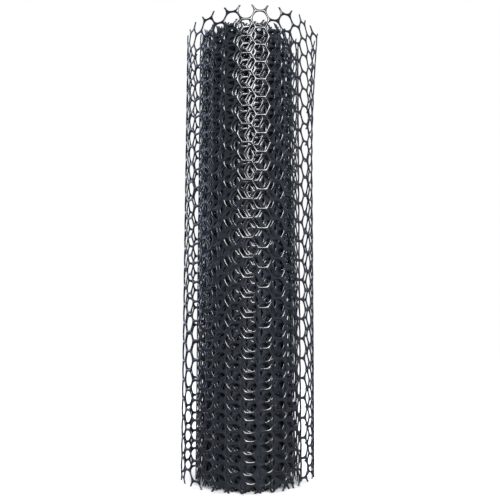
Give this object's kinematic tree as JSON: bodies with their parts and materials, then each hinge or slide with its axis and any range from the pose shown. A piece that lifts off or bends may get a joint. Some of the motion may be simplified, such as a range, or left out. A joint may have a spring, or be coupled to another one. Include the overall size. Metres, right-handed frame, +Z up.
{
  "type": "roll of plastic chicken wire",
  "caption": "Standing roll of black extruded plastic net with a hexagonal mesh, tightly wound with its last turn sprung loose; unrolled to fence, cover or hold up plants.",
  "frame": {"origin": "middle of the roll's foot, on the surface that it stands on", "axes": "+Z up along the roll, +X to the right and +Y away from the viewer when seen from the front"},
  "size_m": [0.1252, 0.117, 0.404],
  "materials": {
    "net": "satin, as extruded"
  },
  "bodies": {
    "root": {"net_roll": "net"}
  },
  "joints": []
}
